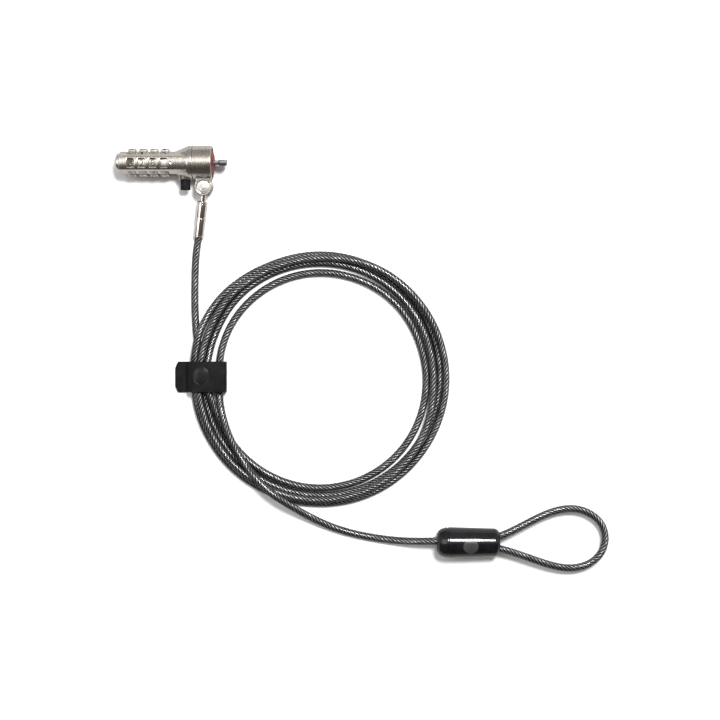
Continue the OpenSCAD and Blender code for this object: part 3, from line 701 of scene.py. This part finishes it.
def ferrule():
    """The polished ferrule: a rounded lip, a turned ring half way and a socket for the cable."""
    low, high = extent("ferrule", NECK)
    top, end = low.z, high.z
    profile = [(top, 1.45, 0.08), (top, 2.25, 0.3), (top + 0.45, 2.7, 0.3),
               (top + 1.15, 2.7, 0.15), (top + 1.3, 2.6, 0.08), (top + 1.45, 2.68, 0.12),
               (14.7, 2.64, 0.15), (14.85, 2.46, 0.08), (15.5, 2.46, 0.08), (15.65, 2.64, 0.15),
               (end - 1.0, 2.53, 0.1), (end - 0.85, 2.44, 0.05), (end - 0.7, 2.52, 0.1),
               (end - 0.1, 2.5, 0.25), (end, 2.2, 0.1), (end, 2.0, 0.05), (14.6, 2.0, 0.05),
               (14.6, 0.9, 0.05), (11.7, 0.9, 0.05), (11.7, 2.0, 0.05), (10.4, 2.0, 0.05),
               (10.4, 1.45, 0.05)]
    piece = turned("ferrule", profile, hollow=True, segments=128)
    finished(piece, "ferrule_polished", NECK, "cable", MAT["bright"],
             ["ferrule"])


# ---------------------------------------------------------------- cable

def ring_middles(node, points_per_ring):
    """The middle of each ring of a swept CAD node, from the ferrule to its other end."""
    bm = bmesh.new()
    bm.from_mesh(frame["nodes"][node].data)
    bmesh.ops.remove_doubles(bm, verts=bm.verts, dist=1e-6)
    first = sorted(bm.verts, key=lambda v: (v.co - pin_place).dot(neck_z))[:points_per_ring]
    seen = set(first)
    ring, middles = first, []
    while ring:
        middles.append(sum((v.co for v in ring), Vector()) / len(ring) / MM)
        following = []
        for v in ring:
            for edge in v.link_edges:
                other = edge.other_vert(v)
                if other not in seen:
                    seen.add(other)
                    following.append(other)
        ring = following
    bm.free()
    return middles


def heading(p, q, r):
    """The direction of a smooth line at q, on its way from p to r."""
    u, v = (q - p).length, (r - q).length
    if u < 1e-9 or v < 1e-9:
        return (r - p) / max(u + v, 1e-9)
    return ((q - p) * v / u + (r - q) * u / v) / (u + v)


def smooth_path(points, step):
    """Points about step apart on a smooth line through all the given ones."""
    out = []
    for i in range(len(points) - 1):
        a, b = points[max(i - 1, 0)], points[i]
        c, d = points[i + 1], points[min(i + 2, len(points) - 1)]
        gap = (c - b).length
        m, n = heading(a, b, c) * gap, heading(b, c, d) * gap
        count = max(1, round(gap / step))
        for k in range(count):
            u = k / count
            out.append((2 * u ** 3 - 3 * u ** 2 + 1) * b + (u ** 3 - 2 * u ** 2 + u) * m
                       + (3 * u ** 2 - 2 * u ** 3) * c + (u ** 3 - u ** 2) * n)
    return out + [points[-1]]


def sweep(name, path, section, twist_length=None, uv=None):
    """Sweeps a closed section of (side, up) points along a path and closes both ends. With a
    twist length it turns once, as a right-hand thread does, in that many millimetres. uv holds
    where each of the section's sides starts and ends across its strand."""
    bm = bmesh.new()
    layer = bm.loops.layers.uv.new("strand") if uv else None
    rings, lengths, done = [], [], 0.0
    for i, here in enumerate(path):
        ahead = path[min(i + 1, len(path) - 1)]
        behind = path[max(i - 1, 0)]
        along = (ahead - behind).normalized()
        side = along.cross(Vector((0, 0, 1))).normalized()
        up = side.cross(along)
        done += (here - path[i - 1]).length if i else 0
        lengths.append(done)
        turn = -2 * math.pi * done / twist_length if twist_length else 0.0
        c, s = math.cos(turn), math.sin(turn)
        rings.append([bm.verts.new(here + side * (x * c - y * s) + up * (x * s + y * c))
                      for x, y in section])
    count = len(section)
    for i in range(len(rings) - 1):
        for k in range(count):
            j = (k + 1) % count
            face = bm.faces.new((rings[i][k], rings[i][j], rings[i + 1][j], rings[i + 1][k]))
            if layer:
                start, stop = uv[k]
                places = ((start, i), (stop, i), (stop, i + 1), (start, i + 1))
                for loop, (u, row) in zip(face.loops, places):
                    loop[layer].uv = (u, lengths[row] * MM)
    for ring, where in ((rings[0], path[0]), (rings[-1], path[-1])):
        middle = bm.verts.new(where)
        for k in range(count):
            bm.faces.new((ring[k], ring[(k + 1) % count], middle))
    bmesh.ops.recalc_face_normals(bm, faces=bm.faces)
    return as_object(name, bm)


def circle(radius, count):
    """Points round a circle."""
    return [(radius * math.cos(2 * math.pi * k / count), radius * math.sin(2 * math.pi * k / count))
            for k in range(count)]


def rope_section(strands, radius, arc_points):
    """Touching round strands: the outline's points, and where each of its sides starts and ends
    across its strand."""
    strand_r = radius * math.sin(math.pi / strands) / (1 + math.sin(math.pi / strands))
    centre_r = radius - strand_r
    reach = math.pi / 2 + math.pi / strands
    points, across = [], []
    for s in range(strands):
        middle = 2 * math.pi * s / strands
        for k in range(arc_points):
            share = (k + 0.5) / arc_points
            a = middle + reach * (2 * share - 1)
            points.append((centre_r * math.cos(middle) + strand_r * math.cos(a),
                           centre_r * math.sin(middle) + strand_r * math.sin(a)))
            following = (k + 1.5) / arc_points if k < arc_points - 1 else 1.0
            across.append((share, following))
    return points, across


def cable():
    """The wire rope of six strands, and the clear jacket drawn tight over it."""
    cad_sides, jacket_r, wall, gap = 6, 1.85, 0.07, 0.01
    strands, points_per_strand, lay = 6, 7, 12.5
    middles = ring_middles("wire_rope", cad_sides)
    section, across = rope_section(strands, jacket_r - wall - gap, points_per_strand)
    rope = sweep("rope", smooth_path(middles, 1.1), section, twist_length=lay, uv=across)
    finished(rope, "wire_rope_stranded", TABLE, "cable", MAT["rope"],
             ["wire_rope"], sharp=75)
    tube = sweep("tube", smooth_path(middles, 1.6), circle(jacket_r, 20))
    finished(tube, "cable_jacket_clear", TABLE, "cable", MAT["jacket"],
             ["cable_jacket"])


def loop_sleeve():
    """The glossy moulded sleeve with a lipped shoulder, a parting ring and a rounded end."""
    low, high = extent("loop_sleeve", TABLE)
    x0, x1, radius = low.x, high.x, (high.y - low.y) / 2
    axis_y, axis_z = (low.y + high.y) / 2, low.z + radius
    # the grip narrows from the parting ring to the rounded end
    wide_x, wide_r, narrow_x, narrow_r = x0 + 5.75, radius - 0.03, x1 - 1.8, radius - 0.72
    profile = [(x0, 0), (x0, radius - 3.1, 0.5), (x0 + 1.0, radius - 1.6, 1.2),
               (x0 + 2.4, radius - 0.75, 1.2), (x0 + 4.6, radius - 0.15, 1.0),
               (x0 + 5.1, radius - 0.1, 0.1), (x0 + 5.2, radius - 0.4, 0.08),
               (x0 + 5.6, radius - 0.4, 0.08), (wide_x, wide_r, 0.5),
               (narrow_x, narrow_r, 2.2), (x1, radius - 2.4, 1.6), (x1, 0)]
    sleeve = moved(turned("sleeve", profile, segments=128, steps=8), LYING)
    room = [(x0 + 6.5, 0), (x0 + 6.5, 5.0, 0.4), (x1 - 4, 5.0, 0.4), (x1 - 4, 0)]
    combine(sleeve, moved(turned("room", room), LYING))
    bore = turned("bore", [(x0 - 1, 0), (x0 - 1, 3.0), (x0 + 0.5, 2.12, 0.5), (x0 + 8, 2.12),
                           (x0 + 8, 0)], segments=48)
    combine(sleeve, moved(bore, Matrix.Translation((0, 0.75, 0)) @ LYING))
    mouth = fillet([(5.15 * sx, 2.15 * sy) for sx, sy in ((1, 1), (-1, 1), (-1, -1), (1, -1))],
                   2.15, closed=True, steps=10)
    combine(sleeve, lofted("mouth", [
        [(x, y * grow, z * grow) for y, z in mouth]
        for x, grow in ((x1 - 5, 1.0), (x1 - 0.5, 1.0), (x1 + 0.4, 1.28))]))
    moved(sleeve, Matrix.Translation((0, axis_y, axis_z)))
    disc_x, disc_r, reach, proud, tip = (x0 + x1) / 2 + 0.8, 3.7, 5, 0.1, math.radians(9)
    slope = (wide_r - narrow_r) / (narrow_x - wide_x)
    skin = wide_r + proud - slope * (disc_x - wide_x)
    cone = [(disc_x - reach, 0), (disc_x - reach, skin + reach * slope),
            (disc_x + reach, skin - reach * slope), (disc_x + reach, 0)]
    disc = moved(turned("disc", cone, 0, segments=128), LYING)
    post = moved(turned("post", [(4, 0), (4, disc_r), (12, disc_r), (12, 0)], 0),
                 Matrix.Rotation(tip, 4, "X") @ Matrix.Translation((disc_x, 0, 0)))
    combine(disc, post, operation="INTERSECT")
    moved(disc, Matrix.Translation((0, axis_y, axis_z)))
    finished(disc, "loop_sleeve_disc", TABLE, "cable", MAT["print"])
    finished(sleeve, "loop_sleeve_moulded", TABLE, "cable", MAT["gloss"],
             ["loop_sleeve"], sharp=50)


# ---------------------------------------------------------------- strap

def strap_strip(name, path, width, thick, middle_y, radius, taper):
    """A moulded rubber strip: a flat section with soft edges, swept along (x, z) points whose
    corners are rounded. At its first end each corner is clipped by taper across the strip."""
    clipped, edge_r, fine, coarse = 1.25, 0.38, 0.25, 0.9
    line = fillet(path, radius, steps=8)
    dense = []
    for a, b in zip(line, line[1:]):
        count = max(1, round((b - a).length / (coarse if dense else fine)))
        dense += [a.lerp(b, k / count) for k in range(count)]
    dense.append(line[-1])
    outlines, done = [], 0.0
    for i, here in enumerate(dense):
        done += (here - dense[i - 1]).length if i else 0
        ahead, behind = dense[min(i + 1, len(dense) - 1)], dense[max(i - 1, 0)]
        along = (ahead - behind).normalized()
        out = Vector((-along.y, along.x))
        half = width / 2
        if done < clipped:
            half -= taper * (1 - done / clipped)
        edge = fillet([(half, thick / 2), (-half, thick / 2), (-half, -thick / 2),
                       (half, -thick / 2)], edge_r, closed=True)
        outlines.append([(here.x + out.x * t, middle_y + y, here.y + out.y * t)
                         for y, t in edge])
    strip = lofted(name, outlines)
    soft = strip.modifiers.new("soft", "BEVEL")
    soft.width, soft.segments, soft.limit_method, soft.angle_limit = 0.18, 2, "ANGLE", 1.0
    return applied(strip)


def strap():
    """The two-part rubber strap: the band below, the flap above, the snap and the web of the
    hinge that joins them."""
    low, high = extent("strap_flap", TABLE)
    bottom = extent("strap_band", TABLE)[0].z
    width, middle_y = high.y - low.y, (low.y + high.y) / 2
    thick, tail_x, outer_x = 1.08, low.x, high.x
    wall_x, top_z = outer_x - thick / 2 - 0.02, 1.2
    band = [(tail_x, bottom + 0.5), (wall_x, bottom + 0.5), (wall_x, hinge_place.z - 0.08)]
    band = strap_strip("band", band, width, 1.0, middle_y, 1.4, taper=2.9)
    finished(band, "strap_band_rubber", TABLE, "cable", MAT["rubber"],
             ["strap_band"])
    flap = [(tail_x, bottom + 1.55), (-12.5, bottom + 1.55), (-12.35, -3.1), (-9.95, top_z),
            (wall_x, top_z), (wall_x, hinge_place.z + 0.08)]
    flap = strap_strip("flap", flap, width, 1.02, middle_y, 1.5, taper=2.9)
    finished(flap, "strap_flap_rubber", TABLE, "flap", MAT["rubber"],
             ["strap_flap"])
    dome = [(0.0, 0), (0.0, 1.0), (0.22, 1.0, 0.08), (0.24, 0.93, 0.05), (0.2, 0.9, 0.03),
            (0.3, 0.86, 0.05), (0.45, 0.5, 0.5), (0.5, 0)]
    badge = turned("badge", dome, radius=0.05, steps=6)
    moved(badge, Matrix.Diagonal((4.0, 4.85, 1, 1)))
    moved(badge, Matrix.Translation((-5.5, middle_y + 0.4, top_z + 0.4)))
    finished(badge, "strap_badge_oval", TABLE, "flap", MAT["badge"])
    low, high = extent("strap_stud", TABLE)
    stud = turned("stud", [(low.z - 0.05, 0), (low.z - 0.05, 0.8), (low.z + 0.15, 0.8, 0.1),
                           (low.z + 0.25, 1.1, 0.15), (high.z, 0.9, 0.2), (high.z, 0)],
                  segments=48)
    moved(stud, Matrix.Translation(((low.x + high.x) / 2, (low.y + high.y) / 2, 0)))
    finished(stud, "strap_snap_stud", TABLE, "cable", MAT["rubber"],
             ["strap_stud"])
    hinge_web(width, middle_y, outer_x)


def hinge_web(width, middle_y, outer_x):
    """The thin rubber web at the strap's hinge, fixed where it is drawn."""
    tall, proud, rows = 2.6, 0.32, 14
    outlines = []
    for i in range(rows + 1):
        z = hinge_place.z + tall * (i / rows - 0.5)
        bulge = proud * math.sin(math.pi * i / rows) ** 0.5 if 0 < i < rows else 0.02
        edge = fillet([(width / 2 - 0.5, bulge), (-width / 2 + 0.5, bulge),
                       (-width / 2 + 0.5, -0.2), (width / 2 - 0.5, -0.2)], 0.1, closed=True,
                      steps=2)
        outlines.append([(outer_x + t, middle_y + y, z) for y, t in edge])
    web = lofted("web", outlines)
    finished(web, "strap_hinge_web", TABLE, None, MAT["rubber"])
    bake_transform(web)


# ---------------------------------------------------------------- the object

lock_body()
dials()
reset_knob()
push_button()
front_parts()
collar()
neck_pin()
eye_stem()
ferrule()
cable()
loop_sleeve()
strap()
for cad_node, finish in (
        ("rear_plug", "body"), ("spindle", "dark_steel"), ("spindle_spring", "spring"),
        ("detent_spring", "spring"), ("button_spring", "spring"), ("pinion", "dark_steel"),
        ("retaining_ring", "spring"), ("crimp_ferrule", "aluminium"), ("code_wheel_1", "brass"),
        ("code_wheel_2", "brass"), ("code_wheel_3", "brass"), ("code_wheel_4", "brass"),
        ("wheel_sleeve", "spring")):
    repaint(cad_node, MAT[finish])


# ---------------------------------------------------------------- studio

def lamp(name, place, target, size, power):
    """A round lamp of that size in metres and power in watts, aimed at the target."""
    data = bpy.data.lights.new(name, "AREA")
    data.shape = "DISK"
    data.size = size
    data.energy = power
    thing = bpy.data.objects.new(name, data)
    thing.location = place
    thing.rotation_euler = (Vector(target) - Vector(place)).to_track_quat("-Z", "Y").to_euler()
    bpy.context.scene.collection.objects.link(thing)


def floor(height):
    """The pale paper the object lies on. Shiny pieces see it dimmer than the camera does."""
    bm = bmesh.new()
    bmesh.ops.create_grid(bm, x_segments=2, y_segments=2, size=6.0)
    plane = as_object("floor", bm)
    plane.location.z = height
    g = Graph("floor_paper")
    paper = g.mix(g.noise(40, detail=3), (0.93, 0.93, 0.93), (0.96, 0.96, 0.96))
    mirrored = g.add("ShaderNodeLightPath").outputs["Is Glossy Ray"]
    g.set(base_color=g.mix(mirrored, paper, (0.5, 0.5, 0.5)), roughness=0.9,
          specular_ior_level=0.1)
    plane.data.materials.append(g.material)


def studio_world():
    """A pale backdrop for the camera, and for the metal a bright tent with a dim side."""
    world = bpy.data.worlds.new("studio")
    bpy.context.scene.world = world
    world.use_nodes = True
    tree = world.node_tree
    tree.nodes.clear()

    def ramp(stops):
        node = tree.nodes.new("ShaderNodeValToRGB")
        node.color_ramp.interpolation = "B_SPLINE"
        while len(node.color_ramp.elements) < len(stops):
            node.color_ramp.elements.new(0.5)
        for element, (place, value) in zip(node.color_ramp.elements, stops):
            element.position = (place + 1) / 2
            element.color = (*value, 1)
        return node

    def grey(v, warm=0.0):
        return (v, v * (1 - 0.5 * warm), v * (1 - warm))

    across = ramp([(-1, grey(0.9)), (-0.85, grey(1.0)), (-0.6, grey(0.75, 0.1)),
                   (-0.2, grey(0.85)), (0.3, grey(1.0)), (0.7, grey(0.8, 0.1)), (1, grey(1.0))])
    along = ramp([(-1, grey(0.12)), (-0.6, grey(0.07, 0.3)), (-0.25, grey(0.14, 0.3)),
                  (-0.06, grey(0.2, 0.2)), (0.0, grey(0.45)), (0.08, grey(0.95)),
                  (0.22, grey(1.0)), (0.34, grey(0.6)), (0.7, grey(0.5)), (1, grey(0.45))])
    coordinate = tree.nodes.new("ShaderNodeTexCoord")
    split = tree.nodes.new("ShaderNodeSeparateXYZ")
    tree.links.new(coordinate.outputs["Generated"], split.inputs[0])
    for axis, node in ((0, across), (1, along)):
        half = tree.nodes.new("ShaderNodeMapRange")
        half.inputs["From Min"].default_value = -1
        tree.links.new(split.outputs[axis], half.inputs["Value"])
        tree.links.new(half.outputs["Result"], node.inputs[0])
    product = tree.nodes.new("ShaderNodeMix")
    product.data_type, product.blend_type = "RGBA", "MULTIPLY"
    product.inputs[MIX_FACTOR].default_value = 1.0
    tree.links.new(across.outputs[0], product.inputs[MIX_A])
    tree.links.new(along.outputs[0], product.inputs[MIX_B])
    path = tree.nodes.new("ShaderNodeLightPath")
    seen = tree.nodes.new("ShaderNodeMix")
    seen.data_type = "RGBA"
    seen.inputs[MIX_B].default_value = (0.97, 0.97, 0.97, 1)
    tree.links.new(path.outputs["Is Camera Ray"], seen.inputs[MIX_FACTOR])
    tree.links.new(product.outputs[MIX_RESULT], seen.inputs[MIX_A])
    back = tree.nodes.new("ShaderNodeBackground")
    tree.links.new(seen.outputs[MIX_RESULT], back.inputs["Color"])
    out = tree.nodes.new("ShaderNodeOutputWorld")
    tree.links.new(back.outputs[0], out.inputs["Surface"])


def camera(centre, floor_z):
    """Straight down from 650 mm above the table, as a frame 360 mm wide on the table."""
    height, frame_width, sensor = 0.650, 0.360, 36.0
    data = bpy.data.cameras.new("camera")
    data.sensor_width = sensor
    data.lens = sensor * height / frame_width
    thing = bpy.data.objects.new("camera", data)
    thing.location = (centre.x, centre.y, floor_z + height)
    bpy.context.scene.collection.objects.link(thing)
    bpy.context.scene.camera = thing


# the camera's frame is centred a little to one side of the object's own middle
middle = (cad_low + cad_high) / 2 - Vector((0.0013, 0.0005, 0))
floor(cad_low.z)
studio_world()
lamp("key", (middle.x + 0.16, middle.y + 0.30, 0.86), middle, 0.24, 11.0)
lamp("fill", (middle.x - 0.5, middle.y + 0.1, 0.7), middle, 0.6, 2.0)
camera(middle, cad_low.z)
bpy.context.scene.view_settings.view_transform = "Standard"
